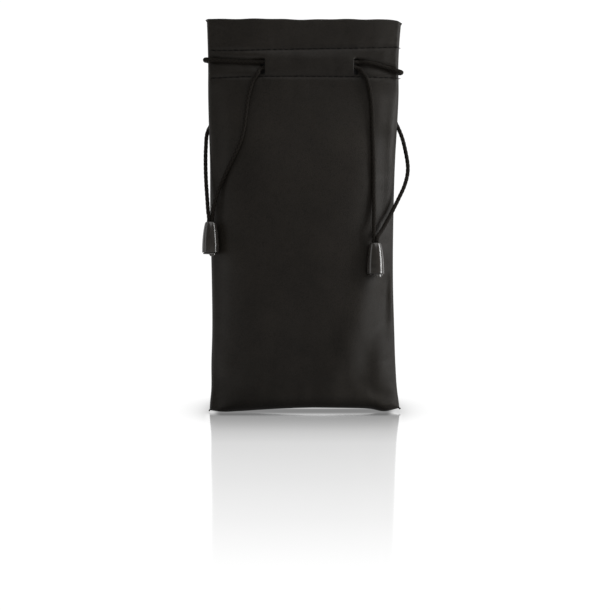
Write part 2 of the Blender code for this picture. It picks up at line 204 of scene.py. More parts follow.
# The flat cloths' half width, and the narrower half width and share of the bulge that the bag starts with.
SIM_FLAT, SIM_START, SIM_BULGE = 45.5, 44.8, 0.85
SEAM_DEPTH = 1.2
SIM_CLOTH = {
    "quality": 6, "mass": 0.3, "tension_stiffness": 40, "compression_stiffness": 20, "shear_stiffness": 12,
    "bending_stiffness": 0.4, "tension_damping": 8, "compression_damping": 8, "shear_damping": 8,
    "bending_damping": 1, "air_damping": 2, "use_pressure": True, "uniform_pressure_force": 2.0,
}
# The sizes, in grid cells, between which a fold is taken for a wrinkle.
WRINKLE_CELLS = (0.9, 5.0)
# How far a simulated wrinkle may move the cloth, and the share of it that each face gets.
WRINKLE_CAP = 1.2
WRINKLE_SHARE = {-1: 0.6, 1: 1.4}


def bag_points():
    """Both faces' grid points, as the bag starts and as flat cloth, and each point's place among them."""
    rng = np.random.default_rng(3)
    places, flat, at = [], [], {}
    for side in (-1, 1):
        for i, share in enumerate(np.linspace(0, 1, SIM_ROWS)):
            for j, u in enumerate(np.linspace(-1, 1, SIM_COLUMNS)):
                seam = i == 0 or j in (0, SIM_COLUMNS - 1)
                if side > 0 and seam:
                    at[side, i, j] = at[-1, i, j]
                    continue
                z = share * HEIGHT
                bulge = float(plain_depth(u * float(half_width(z, u)), z) - SEAM_DEPTH)
                depth = 0.0 if seam else SEAM_DEPTH + SIM_BULGE * bulge
                at[side, i, j] = len(places)
                out = side * depth * min(1, share * 9) ** 0.6 + rng.uniform(-0.1, 0.1)
                places.append((u * SIM_START, out, z))
                flat.append((u * SIM_FLAT, 0.0, z))
    return np.array(places), np.array(flat), at


def soft_bag():
    """Two flat cloths sewn together at the sides and bottom, and the places of each face's grid points."""
    places, flat, at = bag_points()
    faces = []
    for side in (-1, 1):
        for i in range(SIM_ROWS - 1):
            for j in range(SIM_COLUMNS - 1):
                corners = (at[side, i, j], at[side, i, j + 1], at[side, i + 1, j + 1], at[side, i + 1, j])
                faces.append(corners if side < 0 else corners[::-1])
    mesh = bpy.data.meshes.new("soft_bag")
    mesh.from_pydata([tuple(p) for p in places * MM * SIM_SCALE], [], faces)
    bag = bpy.data.objects.new("soft_bag", mesh)
    bpy.context.scene.collection.objects.link(bag)
    bag.shape_key_add(name="Basis")
    rest = bag.shape_key_add(name="flat")
    rest.data.foreach_set("co", (flat * MM * SIM_SCALE).ravel())
    rest.value = 0.0
    held = bag.vertex_groups.new(name="held")
    held.add([at[side, SIM_ROWS - 1, j] for side in (-1, 1) for j in range(SIM_COLUMNS)], 1.0, "REPLACE")
    held.add([at[-1, 0, j] for j in range(SIM_COLUMNS)], 0.6, "REPLACE")
    cloth = bag.modifiers.new("cloth", "CLOTH")
    for name, value in SIM_CLOTH.items():
        setattr(cloth.settings, name, value)
    cloth.settings.vertex_group_mass = "held"
    cloth.settings.rest_shape_key = rest
    cloth.settings.effector_weights.gravity = 0
    cloth.collision_settings.use_collision = False
    cloth.point_cache.frame_start, cloth.point_cache.frame_end = 1, SIM_FRAMES
    return bag, at


def blurred(grid, size):
    """The grid averaged over a round neighbourhood of this many cells, mirrored at its borders."""
    reach = math.ceil(2.5 * size)
    weights = np.exp(-0.5 * (np.arange(-reach, reach + 1) / size) ** 2)
    weights /= weights.sum()
    for axis in (0, 1):
        pads = [(reach, reach) if k == axis else (0, 0) for k in (0, 1)]
        padded = np.pad(grid, pads, mode="symmetric")
        grid = np.apply_along_axis(np.convolve, axis, padded, weights, mode="valid")
    return grid


def simulate_wrinkles():
    """Fills the soft bag with a little pressure, and keeps the small folds that its seams pull into it."""
    bag, at = soft_bag()
    for number in range(1, SIM_FRAMES + 1):
        bpy.context.scene.frame_set(number)
    settled = bag.evaluated_get(bpy.context.evaluated_depsgraph_get()).to_mesh()
    depth = np.array([abs(v.co.y) for v in settled.vertices]) / (MM * SIM_SCALE)
    found = {}
    for side in (-1, 1):
        grid = np.array([[depth[at[side, i, j]] for j in range(SIM_COLUMNS)] for i in range(SIM_ROWS)])
        small = blurred(grid, WRINKLE_CELLS[0]) - blurred(grid, WRINKLE_CELLS[1])
        found[side] = WRINKLE_CAP * np.tanh(small / WRINKLE_CAP)
    mesh = bag.data
    bpy.data.objects.remove(bag)
    bpy.data.meshes.remove(mesh)
    bpy.context.scene.frame_set(1)
    return found


WRINKLES = simulate_wrinkles()


def wrinkles(x, z, side):
    """The simulated folds at (x, z), between the grid's points, fading at the seams and below the channel."""
    across = np.clip(x / half_width(z, x) + 1, 0, 2) / 2 * (SIM_COLUMNS - 1)
    up = np.broadcast_to(np.clip(z / HEIGHT, 0, 1) * (SIM_ROWS - 1), across.shape)
    j, i = np.minimum(across.astype(int), SIM_COLUMNS - 2), np.minimum(up.astype(int), SIM_ROWS - 2)
    a, b = smooth_step(across - j), smooth_step(up - i)
    grid = WRINKLES[side]
    low = grid[i, j] * (1 - a) + grid[i, j + 1] * a
    high = grid[i + 1, j] * (1 - a) + grid[i + 1, j + 1] * a
    fade = smooth_step((half_width(z, x) - np.abs(x)) / 9) * smooth_step((150 - z) / 12)
    return WRINKLE_SHARE[side] * (low * (1 - b) + high * b) * fade


# -------- the faces' relief

# How far a stitched row, a cord's trough and the flap beside a slit are pressed in, and how far the
# drawstrings swell the channel, everywhere and where they cross.
ROW_DIP, TROUGH, FLAP = 0.5, 1.1, 0.7
SWELL, CROSSING_SWELL = 0.65, 0.4


def stitch_height(row, x):
    return STITCH_ROWS[row] + (through(UPPER_LEAN, x) if row == "upper" else 0.0)


def band_swell(x, z):
    """Where the drawstrings swell the channel: shares across its height, and between its slits.
    The swelling ends sharply at a slit's cut edge, and slowly above and below it."""
    rise = smooth_step((z - CHANNEL[0]) / (CHANNEL[1] - CHANNEL[0]))
    fall = smooth_step((CHANNEL[3] - z) / (CHANNEL[3] - CHANNEL[2]))
    cut = smooth_step((z - SLIT_Z[0] + 0.9) / 0.9) * smooth_step((SLIT_Z[1] + 0.9 - z) / 0.9)
    sharp = smooth_step((x - SLITS["left"] + 0.5) / 0.6) * smooth_step((SLITS["right"] + 0.5 - x) / 0.6)
    slow = smooth_step((x - SLITS["left"] + 9) / 12) * smooth_step((SLITS["right"] + 9 - x) / 12)
    return np.minimum(rise, fall), cut * sharp + (1 - cut) * slow


def sags(x, z, phases):
    """A face's slow unevenness."""
    a, b, c, d, e, f = phases
    slow = 0.28 * np.sin(x / 15 + a) * np.sin(z / 21 + b) + 0.2 * np.sin(x / 8.5 + z / 26 + c)
    return slow + 0.16 * np.sin(z / 8 - x / 19 + d) + 0.09 * np.sin(x / 4.7 + e) * np.sin(z / 5.6 + f)


def stitch_dip(x, z, row, folds):
    """A row of stitching pulls the cloth in, gathers it a little, and leaves a faint swell on both sides."""
    off_row = z - stitch_height(row, x)
    swell = 0.06 * np.exp(-((np.abs(off_row) - 2.2) / 1.1) ** 2)
    dip = ROW_DIP * np.exp(-(off_row / 0.75) ** 2)
    return gather(x, off_row, folds[row], PUCKER_DEPTH[row]) - dip + swell


def bypass_z(slit, beyond):
    """The height of the drawstring that lies outside the cloth, this far beyond the slit."""
    high, low = BYPASS_Z[slit]
    return high + (low - high) * np.clip(beyond / 22, 0, 1.2) ** 1.3


def cord_trough(x, z, slit):
    """What a drawstring presses in beyond a slit: a trough under it, and the flap beside the slit."""
    beyond = math.copysign(1, SLITS[slit]) * (x - SLITS[slit])
    line = bypass_z(slit, beyond)
    width = np.where(z < line, 3.4, 1.5)
    trough = TROUGH * smooth_step((beyond - 0.3) / 1.0) * np.exp(-((z - line) / width) ** 2)
    flap = smooth_step(beyond / 0.8) * smooth_step((7 - beyond) / 5)
    return trough + FLAP * flap * smooth_step((z - 153.4) / 1.2) * smooth_step((162.4 - z) / 1.6)


def relief(x, z, side):
    """Everything that makes a face uneven, outwards: sags, creases, puckers, stitch rows and cord troughs."""
    folds = SEAM_FOLDS[side]
    total = sags(x, z, folds["waves"])
    for crease in FOLDS[side]:
        total = total + fold_line(x, z, *crease)
    from_side = half_width(z, x) - np.abs(x)
    left, right = (gather(z, from_side, folds[seam], PUCKER_DEPTH[seam]) for seam in ("left", "right"))
    total = total + np.where(x < 0, left, right)
    base = gather(x, z, folds["base"], PUCKER_DEPTH["base"]) * smooth_step((30 - z) / 20)
    total = total + base + wrinkles(x, z, side)
    for row in STITCH_ROWS:
        total = total + stitch_dip(x, z, row, folds)
    rows, tunnel = band_swell(x, z)
    total = total + rows * tunnel * (SWELL + CROSSING_SWELL * np.exp(-((x - CROSSING_X) / 7) ** 2))
    for slit in BYPASS_Z:
        total = total - cord_trough(x, z, slit)
    return total * smooth_step(from_side / 3.5)


def cloth_depth(x, z, side):
    """The outer face's distance from the middle plane, rolled in where it meets the side seam."""
    hw = half_width(z, x)
    depth = plain_depth(x, z) + relief(x, z, side)
    roll = np.clip((np.abs(x) - (hw - 1.5)) / 1.5, 0, 1)
    return np.maximum(depth * np.sqrt(np.clip(1 - roll**2, 0, 1)), 0.1)


def base_height(x):
    return through(BASE_LINE, x)


def mouth_height(x, side):
    """How far the mouth's edge is from level."""
    return through(MOUTH_LINE, x) + 0.14 * np.sin(x / 5.2 + 1.4 * side) + 0.1 * np.sin(x / 2.3 + side) - 0.25


# -------- mesh helpers

def add_object(name, verts_mm, faces, uvs=None):
    mesh = bpy.data.meshes.new(name)
    mesh.from_pydata([tuple(v) for v in np.asarray(verts_mm) * MM], [], faces)
    if uvs is not None:
        layer = mesh.uv_layers.new(name="UVMap")
        corners = np.empty(len(mesh.loops), int)
        mesh.loops.foreach_get("vertex_index", corners)
        layer.data.foreach_set("uv", np.asarray(uvs, float)[corners].ravel())
    mesh.shade_smooth()
    piece = bpy.data.objects.new(name, mesh)
    bpy.context.scene.collection.objects.link(piece)
    return piece


def grid_faces(rows, columns, closed=False, looped=False):
    """Faces between rows of points. closed joins each row's ends; looped joins the last row to the first."""
    faces = []
    for i in range(rows if looped else rows - 1):
        low, high = i * columns, (i + 1) % rows * columns
        for j in range(columns if closed else columns - 1):
            k = (j + 1) % columns
            faces.append((low + j, low + k, high + k, high + j))
    return faces


def capped_faces(rows, columns, first=0):
    """A round tube's faces between its rings, and over both ends. first is its first point's place."""
    faces = grid_faces(rows, columns, closed=True)
    faces.append(tuple(range(columns - 1, -1, -1)))
    faces.append(tuple(range((rows - 1) * columns, rows * columns)))
    return [tuple(first + k for k in face) for face in faces]


def thicken(piece, thickness, offset):
    made = piece.modifiers.new("thickness", "SOLIDIFY")
    made.thickness = thickness * MM
    made.offset = offset
    return made


def finish_piece(piece, material, body, slot, *nodes):
    """body is None for a piece that runs between two bodies and is left unattached."""
    piece.data.materials.clear()
    piece.data.materials.append(material)
    if body:
        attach(piece, body)
    if nodes:
        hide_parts(*nodes)
    return piece


# -------- camera (made before the cords, whose points were measured in its view)

# The camera's place, and the width of its view at the object's middle.
EYE = (0.7, -700.0, 49.0)
VIEW_WIDTH = 280.6
SENSOR = 36.0


def make_camera():
    camera = bpy.data.objects.new("camera", bpy.data.cameras.new("camera"))
    bpy.context.scene.collection.objects.link(camera)
    camera.data.sensor_width = SENSOR
    camera.data.lens = SENSOR * -EYE[1] / VIEW_WIDTH
    camera.location = Vector(EYE) * MM
    camera.rotation_euler = (math.radians(90), 0, 0)
    camera.data.clip_start = 0.01
    bpy.context.scene.camera = camera


make_camera()


# -------- materials

def fill(tree, made, **values):
    """Sets a node's inputs and settings by name, with _ for a space. A given socket is linked."""
    for key, value in values.items():
        socket = made.inputs.get(key.replace("_", " "))
        if socket is None:
            setattr(made, key, value)
        elif isinstance(value, bpy.types.NodeSocket):
            tree.links.new(value, socket)
        else:
            socket.default_value = value
    return made


def node(tree, kind, **values):
    return fill(tree, tree.nodes.new(f"ShaderNode{kind}"), **values)


def math_node(tree, operation, *values):
    made = node(tree, "Math", operation=operation)
    for socket, value in zip(made.inputs, values):
        if isinstance(value, float):
            socket.default_value = value
        else:
            tree.links.new(value, socket)
    return made.outputs[0]


def mapped(tree, value, **ends):
    return node(tree, "MapRange", Value=value, **ends).outputs["Result"]


def ramp(tree, value, stops):
    made = node(tree, "ValToRGB", Fac=value)
    elements = made.color_ramp.elements
    for at, _ in stops[2:]:
        elements.new(at)
    for element, (at, colour) in zip(elements, stops):
        element.position = at
        element.color = (*colour, 1)
    return made.outputs["Color"]


def new_material(name, roughness, specular):
    """A material, its node tree, its shader and its place on the object."""
    material = bpy.data.materials.new(name)
    material.use_nodes = True
    tree = material.node_tree
    shader = fill(tree, tree.nodes["Principled BSDF"], Roughness=roughness, Specular_IOR_Level=specular)
    return material, tree, shader, node(tree, "TexCoord").outputs["Object"]


def raise_bumps(tree, shader, height, strength, distance):
    bump = node(tree, "Bump", Strength=strength, Distance=distance * MM, Height=height)
    fill(tree, shader, Normal=bump.outputs["Normal"])


def leatherette():
    """Black pebbled leatherette: small flat grains with fine lines between them, a little worn in places."""
    material, tree, shader, place = new_material("black_leatherette", 0.5, 0.12)
    warp = node(tree, "TexNoise", Vector=place, Scale=900.0, Detail=2.0).outputs["Color"]
    warped = node(tree, "MixRGB", blend_type="ADD", Fac=0.00035, Color1=place, Color2=warp).outputs["Color"]
    grain = node(tree, "TexVoronoi", Vector=warped, Scale=1500.0, feature="DISTANCE_TO_EDGE")
    flat = mapped(tree, grain.outputs["Distance"], From_Max=0.16)
    fine = node(tree, "TexNoise", Vector=place, Scale=5200.0, Detail=3.0).outputs["Fac"]
    raise_bumps(tree, shader, math_node(tree, "MULTIPLY_ADD", fine, 0.35, flat), 0.42, 0.06)
    cloud = node(tree, "TexNoise", Vector=place, Scale=46.0, Detail=5.0, Roughness=0.6).outputs["Fac"]
    tone = ramp(tree, cloud, [(0.3, (0.0088, 0.0073, 0.0056)), (0.7, (0.0140, 0.0117, 0.0092))])
    lines = node(tree, "MixRGB", blend_type="MULTIPLY", Fac=0.45, Color1=tone, Color2=flat).outputs["Color"]
    fill(tree, shader, Base_Color=lines, Roughness=mapped(tree, cloud, To_Min=0.56, To_Max=0.42))
    return material


def cloth_backing():
    """The woven backing that shows at the cut edge and inside of the leatherette."""
    material, tree, shader, place = new_material("woven_backing", 0.85, 0.25)
    weave = [node(tree, "TexWave", Vector=place, Scale=900.0, Distortion=0.6, bands_direction=way)
             for way in ("X", "Z")]
    both = math_node(tree, "MULTIPLY", *(wave.outputs["Fac"] for wave in weave))
    tone = ramp(tree, both, [(0.0, (0.004, 0.004, 0.004)), (1.0, (0.013, 0.012, 0.011))])
    fill(tree, shader, Base_Color=tone)
    raise_bumps(tree, shader, both, 0.5, 0.08)
    return material


def fibre(name, dark, light, turns, pitch):
    """Twisted or braided fibre, from the tube's own UV: turns round it, and the pitch along it (mm)."""
    material, tree, shader, place = new_material(name, 0.75, 0.08)
    uv = node(tree, "SeparateXYZ", Vector=node(tree, "UVMap", uv_map="UVMap").outputs["UV"])
    bands = []
    for lean in (1.0, -1.0):
        round_it = math_node(tree, "MULTIPLY", uv.outputs["X"], 2 * math.pi * turns * lean)
        along = math_node(tree, "MULTIPLY_ADD", uv.outputs["Y"], 2 * math.pi / pitch, round_it)
        bands.append(math_node(tree, "SINE", along))
    share = mapped(tree, math_node(tree, "MAXIMUM", *bands), From_Min=-0.7)
    fuzz = node(tree, "TexNoise", Vector=place, Scale=7000.0, Detail=2.0).outputs["Fac"]
    raise_bumps(tree, shader, math_node(tree, "MULTIPLY_ADD", fuzz, 0.5, share), 0.6, 0.12)
    fill(tree, shader, Base_Color=ramp(tree, share, [(0.0, dark), (1.0, light)]))
    return material


def moulded_plastic():
    """Dark smoky plastic with a moulded gloss, slightly uneven."""
    material, tree, shader, place = new_material("smoky_plastic", 0.3, 0.45)
    flow = node(tree, "TexNoise", Vector=place, Scale=260.0, Detail=4.0, Roughness=0.55).outputs["Fac"]
    tone = ramp(tree, flow, [(0.3, (0.020, 0.018, 0.016)), (0.75, (0.032, 0.029, 0.026))])
    fill(tree, shader, Base_Color=tone, Roughness=mapped(tree, flow, To_Min=0.14, To_Max=0.20))
    skin = node(tree, "TexNoise", Vector=place, Scale=1400.0, Detail=2.0).outputs["Fac"]
    raise_bumps(tree, shader, skin, 0.03, 0.03)
    return material


# A braided cord's strands round it, and the length in which they go round once.
STRANDS, PITCH = 4, 2.1
LEATHER = leatherette()
BACKING = cloth_backing()
CORD = fibre("braided_cord", (0.0014, 0.0011, 0.0008), (0.0080, 0.0064, 0.0046), STRANDS, PITCH)
THREAD = fibre("sewing_thread", (0.001, 0.001, 0.001), (0.004, 0.0037, 0.0034), 1, 0.7)
PLASTIC = moulded_plastic()


# -------- cords

def smooth_route(points, step):
    """Even points on a Catmull-Rom curve through the given ones."""
    points = [Vector(p) for p in points]
    padded = [2 * points[0] - points[1], *points, 2 * points[-1] - points[-2]]
    fine = [points[0]]
    for i in range(1, len(padded) - 2):
        a, b, c, d = padded[i - 1 : i + 3]
        for part in range(1, 17):
            t = part / 16
            start = 2 * b + (c - a) * t
            fine.append(0.5 * (start + (2 * a - 5 * b + 4 * c - d) * t**2 + (3 * b - a - 3 * c + d) * t**3))
    fine = np.array([tuple(p) for p in fine])
    along = np.concatenate([[0], np.cumsum(np.linalg.norm(np.diff(fine, axis=0), axis=1))])
    wanted = np.linspace(0, along[-1], max(3, round(along[-1] / step)) + 1)
    return np.stack([np.interp(wanted, along, fine[:, k]) for k in range(3)], axis=1), wanted


def tube(name, route, wanted, radius, sides=14, braid=0.0):
    """A closed tube along the route, whose points are at the wanted lengths. braid raises its strands."""
    tangents = np.gradient(route, axis=0)
    tangents /= np.linalg.norm(tangents, axis=1, keepdims=True)
    normal = np.cross(tangents[0], (0.31, 0.17, 0.93))
    verts, uvs = [], []
    for at, tangent, s in zip(route, tangents, wanted):
        normal = normal - tangent * normal.dot(tangent)
        normal /= np.linalg.norm(normal)
        other = np.cross(tangent, normal)
        way = 2 * math.pi * s / PITCH
        for j in range(sides):
            a = 2 * math.pi * j / sides
            lift = max(math.sin(way + STRANDS * a), math.sin(way - STRANDS * a))
            r = radius * (1 + braid * (lift - 0.4))
            verts.append(at + r * (math.cos(a) * normal + math.sin(a) * other))
            uvs.append((j / sides, s))
    return add_object(name, verts, capped_faces(len(route), sides), uvs)


def on_cloth(x, z, lift, side):
    """A point this far off the cloth's outer face."""
    return (x, side * (float(cloth_depth(x, z, side)) + lift), z)


def in_channel(x, z, side, sink=CORD_SINK):
    """A point this far inside the face."""
    return (x, side * (float(plain_depth(x, z)) - sink), z)


# The free ends' ways down each face, as (x, z, how far off the cloth), and then beside the pouch, in space.
FRONT_STRAND = {
    "left": [(-21.0, 153.9, 1.2), (-23.2, 150.4, 1.0), (-25.2, 143.5, 0.9), (-26.1, 136.5, 0.8),
             (-27.1, 129.0, 0.8), (-29.4, 121.3, 0.9), (-33.5, 113.0, 1.1), (-37.6, 104.2, 1.6),
             (-40.4, 96.0, 3.0)],
    "right": [(28.9, 151.7, 1.2), (30.5, 145.0, 1.0), (31.2, 137.0, 0.8), (31.5, 127.0, 0.8),
              (31.8, 115.0, 0.8), (31.9, 102.0, 1.0), (32.0, 90.0, 2.0), (31.9, 83.0, 3.4)],
}
BACK_STRAND = {
    "left": [(-28.5, 150.0, 1.7), (-35.0, 143.0, 1.1), (-40.0, 136.0, 1.0)],
    "right": [(31.6, 152.0, 2.0), (35.4, 146.0, 1.3), (39.8, 138.5, 1.1)],
}
EDGE_STRAND = {
    "left": [(-44.2, 2.6, 129.0), (-45.0, 1.6, 121.5), (-45.0, -0.5, 113.5), (-44.6, -3.0, 105.5),
             (-44.0, -4.8, 98.0), (-43.5, -5.8, 91.5)],
    "right": [(44.4, 2.0, 129.0), (46.6, 0.8, 121.5), (48.0, -0.2, 112.0), (46.6, -1.6, 104.5),
              (43.2, -3.8, 97.0), (39.2, -6.8, 89.3), (35.5, -9.8, 82.8)],
}
# Where a free end turns down out of its slit.
STRAND_TURN = {"left": (-21.4, 154.6, 1.2), "right": (26.6, 155.3, 1.2)}
BELL_TOP = {"left": (-42.35, -6.2, 87.2), "right": (32.55, -12.2, 77.4)}
# How far from a slit its cord's way out ends.
SLIT_CLEAR = 5.6


def slit_exit(cord, slit, side):
    """A cord's way out of the channel's end and onto the cloth beside it."""
    x, away = SLITS[slit], math.copysign(1, SLITS[slit])
    z = STRAND_Z[slit] if cord == slit else BYPASS_Z[slit][0]
    return [in_channel(x - away * 3.0, z, side), in_channel(x - away * 0.3, z, side, 0.7),
            on_cloth(x + away * 2.3, z - (1.0 if cord == slit else 0.0), CORD_LIFT, side),
            on_cloth(x + away * SLIT_CLEAR, z, 0.7, side)]


def bypass(cord, slit):
    """From a front slit round the side seam to the back slit, outside the cloth."""
    away = math.copysign(1, SLITS[slit])
    start = abs(SLITS[slit]) + SLIT_CLEAR
    z, low_z = BYPASS_Z[slit]
    sag = z - low_z
    edge = float(half_width(z, away))
    route = []
    for side in (-1, 1):
        span = []
        for share, lift in ((0.25, CORD_LIFT), (0.5, CORD_LIFT), (0.72, 0.9), (0.88, 1.2)):
            x = away * (start + (edge - start) * share)
            span.append(on_cloth(x, z - sag * share**1.3, lift, side))
        span.append((away * (edge + CORD_LIFT), side * 2.5, z - sag))
        route += span if side < 0 else [(away * (edge + 1.45), 0.0, z - sag)] + span[::-1]
    return route


# The distance between a cord's rings, and how much its braid raises.
CORD_STEP, BRAID = 0.3, 0.085


def channel_route(cord, other, away, side):
    """A drawstring's way through the channel, from its own slit to the other one, where it changes height."""
    route = []
    for share in np.linspace(0, 1, 7):
        x = (SLITS[cord] - away * 7) * (1 - share) + (SLITS[other] + away * 7) * share
        z = STRAND_Z[cord] + (BYPASS_Z[other][0] - STRAND_Z[cord]) * float(smooth_step(share))
        route.append(in_channel(x, z, side, 0.8 + (0.25 + away * 0.6) * math.sin(math.pi * share)))
    return route


def cord_lines(cord):
    """The points of a drawstring's loop, and of its two free ends from their slits into the bell."""
    other, away = ("right", -1) if cord == "left" else ("left", 1)
    channel = {side: channel_route(cord, other, away, side) for side in (-1, 1)}
    front = slit_exit(cord, cord, -1)[:3]
    if cord == "right":
        front.append(on_cloth(*STRAND_TURN[cord], -1))
    front += [on_cloth(*p, -1) for p in FRONT_STRAND[cord]]
    back = [*slit_exit(cord, cord, 1)[:3], on_cloth(*STRAND_TURN[cord], 1)]
    back += [on_cloth(*p, 1) for p in BACK_STRAND[cord]] + EDGE_STRAND[cord]
    for line, apart in ((front, -away * 0.8), (back, away * 0.8)):
        end = Vector(BELL_TOP[cord]) + Vector((apart, 0, -1.5))
        line += [end + Vector((0, 0, 3.6)), end]
    loop = [*channel[-1], *slit_exit(cord, other, -1), *bypass(cord, other), *slit_exit(cord, other, 1)[::-1],
            *channel[1][::-1]]
    return {"loop": loop, "front_strand": front, "back_strand": back}


def make_cord(cord):
    made = {}
    for part, points in cord_lines(cord).items():
        route, wanted = smooth_route(points, CORD_STEP)
        piece = tube(f"{cord}_braided_{part}", route, wanted, CORD_DIAMETER / 2, braid=BRAID)
        finish_piece(piece, CORD, "pouch" if part == "loop" else None, "cord", f"{cord}_cord_{part}")
        if part != "loop":
            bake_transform(piece)
        made[part] = (piece, route)
    return made


CORDS = {cord: make_cord(cord) for cord in ("left", "right")}


# -------- panels

# The half width that a panel's columns are laid out in, their spacing and the least space between two.
HALF_COLUMNS = 44.0
COLUMN_STEP, LEAST_STEP = 1.1, 0.24
# The radius of the panel's bottom corner, the gap at its seam, and where the finer rows of the channel start.
BASE_CORNER = 6.5
SEAM_GAP = 0.18
FINE_FROM = 150.0
# Where the rows start to follow the mouth's own line, and the height that this takes.
MOUTH_FROM, MOUTH_REACH = 168.0, 11.0


def column_places():
    """Where a panel's columns stand, closer together beside the slits and the seams."""
    places = set()
    for x in np.arange(-HALF_COLUMNS, HALF_COLUMNS + 0.01, COLUMN_STEP):
        places.add(round(float(x) / HALF_COLUMNS, 5))
    for x in SLITS.values():
        away = math.copysign(1, x)
        for offset in (-1.6, -1.1, -0.7, -0.35, 0.0, 0.5, 1.0, 1.6, 2.0, SLIT_OPEN, 2.9, 3.5, 4.1):
            places.add(round((x + away * offset) / HALF_COLUMNS, 5))
    for share in (0.955, 0.966, 0.9755, 0.9825, 0.989, 0.9945, 0.9985):
        places |= {share, -share}
    ordered = sorted(places)
    kept = [ordered[0]]
    for place in ordered[1:]:
        if (place - kept[-1]) * HALF_COLUMNS > LEAST_STEP:
            kept.append(place)
    return np.array(kept)


def panel_rows(u, side):
    """The cloth's outer surface in rows, from the bottom seam up the face, over the fold and down the hem.
    Each row has x, how far out it is, z, and its height if the slits can cut it."""
    def across(z):
        return u * half_width(z, u)

    def raised(z):
        return z + lift * smooth_step((z - MOUTH_FROM) / MOUTH_REACH)

    base = base_height(across(0.0))
    front = cloth_depth(across(8.0), 8.0, side)
    corner = np.minimum(BASE_CORNER, 0.75 * front)
    rows = []
    for share in np.linspace(0, 1, 8):
        out = SEAM_GAP + (front - corner - SEAM_GAP) * share
        rows.append((across(0.0), out, base + 0.5 * share * (1 - share), None))
    for turn in np.radians(np.linspace(0, 90, 10)[1:]):
        z = base + corner * (1 - np.cos(turn))
        rows.append((across(z), front - corner + corner * np.sin(turn), z, None))
    low = base + corner
    for share in np.linspace(0, 1, 86)[1:]:
        z = low + (FINE_FROM - low) * share
        x = across(z)
        rows.append((x, front + (cloth_depth(x, z, side) - front) * smooth_step((z - low) / 8), z, None))
    lift = mouth_height(across(HEIGHT), side)
    top_z = HEIGHT - FOLD_RADIUS
    for z in np.arange(FINE_FROM + 0.5, top_z, 0.5):
        x = across(z)
        rows.append((x, cloth_depth(x, z, side), raised(z), z))
    x = across(top_z)
    face = cloth_depth(x, top_z, side)
    radius = np.minimum(FOLD_RADIUS, np.maximum(face - 0.12, 0.05) / 2)
    for turn in np.radians(np.linspace(0, 180, 12)):
        z = top_z + lift + FOLD_RADIUS * np.sin(turn)
        rows.append((x, face - radius + radius * np.cos(turn), z, None))
    for z in np.arange(top_z - 0.5, HEM_END, -0.9):
        x = across(z)
        swell, tunnel = band_swell(x, z)
        loose = 0.25 * relief(x, z, side) * (1 - tunnel)
        inner = plain_depth(x, z) - 2 * FOLD_RADIUS - swell * tunnel * 0.8 + loose
        inner = np.minimum(inner, cloth_depth(x, z, side) - 2 * FOLD_RADIUS + 0.1)
        rows.append((x * 0.996, np.maximum(inner, 0.12), raised(z), None))
    return rows


def in_slit(x, z):
    """Whether the face's cloth is cut away at this place."""
    beyond = [math.copysign(1, at) * (x - at) for at in SLITS.values()]
    return SLIT_Z[0] < z < SLIT_Z[1] and any(0 < gap < SLIT_OPEN for gap in beyond)


def make_panel(name, side, node_name):
    u = column_places()
    rows = panel_rows(u, side)
    columns = len(u)
    verts, uvs = [], []
    run = np.zeros(columns)
    before = None
    for row in rows:
        x, depth, z = (np.broadcast_to(v, u.shape) for v in row[:3])
        here = np.stack([x, side * depth, z], axis=1)
        if before is not None:
            run = run + np.linalg.norm(here - before, axis=1)
        before = here
        verts.extend(here)
        uvs.extend(zip(u * HALF_COLUMNS, run))
    middles = (u[:-1] + u[1:]) / 2 * HALF_COLUMNS
    faces = []
    for face in grid_faces(len(rows), columns):
        i, j = divmod(face[0], columns)
        height = rows[i][3]
        if height is not None and in_slit(middles[j], height):
            continue
        faces.append(face if side < 0 else face[::-1])
    panel = add_object(name, verts, faces, uvs)
    thick = thicken(panel, FABRIC, -1.0)
    thick.use_even_offset = False
    thick.material_offset = thick.material_offset_rim = 1
    finish_piece(panel, LEATHER, "pouch", "leatherette", node_name)
    panel.data.materials.append(BACKING)
    return panel


FRONT = make_panel("front_leatherette_panel", -1, "front_panel")
BACK = make_panel("back_leatherette_panel", 1, "back_panel")


# -------- stitching

STITCH_LENGTH = 2.35
STITCH_RADIUS = 0.21
# How far inside the pouch's outline a row starts and ends.
ROW_MARGIN = 1.4
# A stitch's points round it and its rings along it.
STITCH_SIDES, STITCH_RINGS = 7, 9


def make_stitches(name, side, row, replaced, seed):
    """A row of lockstitch: each stitch rises out of its needle hole and sinks into the next."""
    rng = np.random.default_rng(seed)
    verts, faces, uvs = [], [], []
    x, end = (way * (float(half_width(STITCH_ROWS[row], way)) - ROW_MARGIN) for way in (-1, 1))
    while x < end:
        length = STITCH_LENGTH * rng.uniform(0.9, 1.12)
        z0 = float(stitch_height(row, x)) + rng.uniform(-0.12, 0.12)
        z1 = float(stitch_height(row, x + length)) + rng.uniform(-0.12, 0.12)
        faces += capped_faces(STITCH_RINGS, STITCH_SIDES, len(verts))
        for share in np.linspace(0, 1, STITCH_RINGS):
            at_x, at_z = x + length * share, z0 + (z1 - z0) * share
            rise = math.sin(math.pi * share)
            depth = float(cloth_depth(at_x, at_z, side)) + 0.24 * rise**0.6 - 0.12
            radius = STITCH_RADIUS * (0.72 + 0.28 * rise)
            for j in range(STITCH_SIDES):
                a = 2 * math.pi * j / STITCH_SIDES
                verts.append((at_x, side * (depth + radius * math.cos(a)), at_z + radius * math.sin(a)))
                uvs.append((j / STITCH_SIDES, at_x))
        x += length + rng.uniform(0.18, 0.34)
    return finish_piece(add_object(name, verts, faces, uvs), THREAD, "pouch", "thread", replaced)


for face_name, face_side in (("front", -1), ("back", 1)):
    for row_name, row_seed in (("lower", 5), ("upper", 8)):
        name = f"{face_name}_{row_name}"
        make_stitches(f"{name}_stitches", face_side, row_name, f"{name}_stitching", row_seed + face_side)


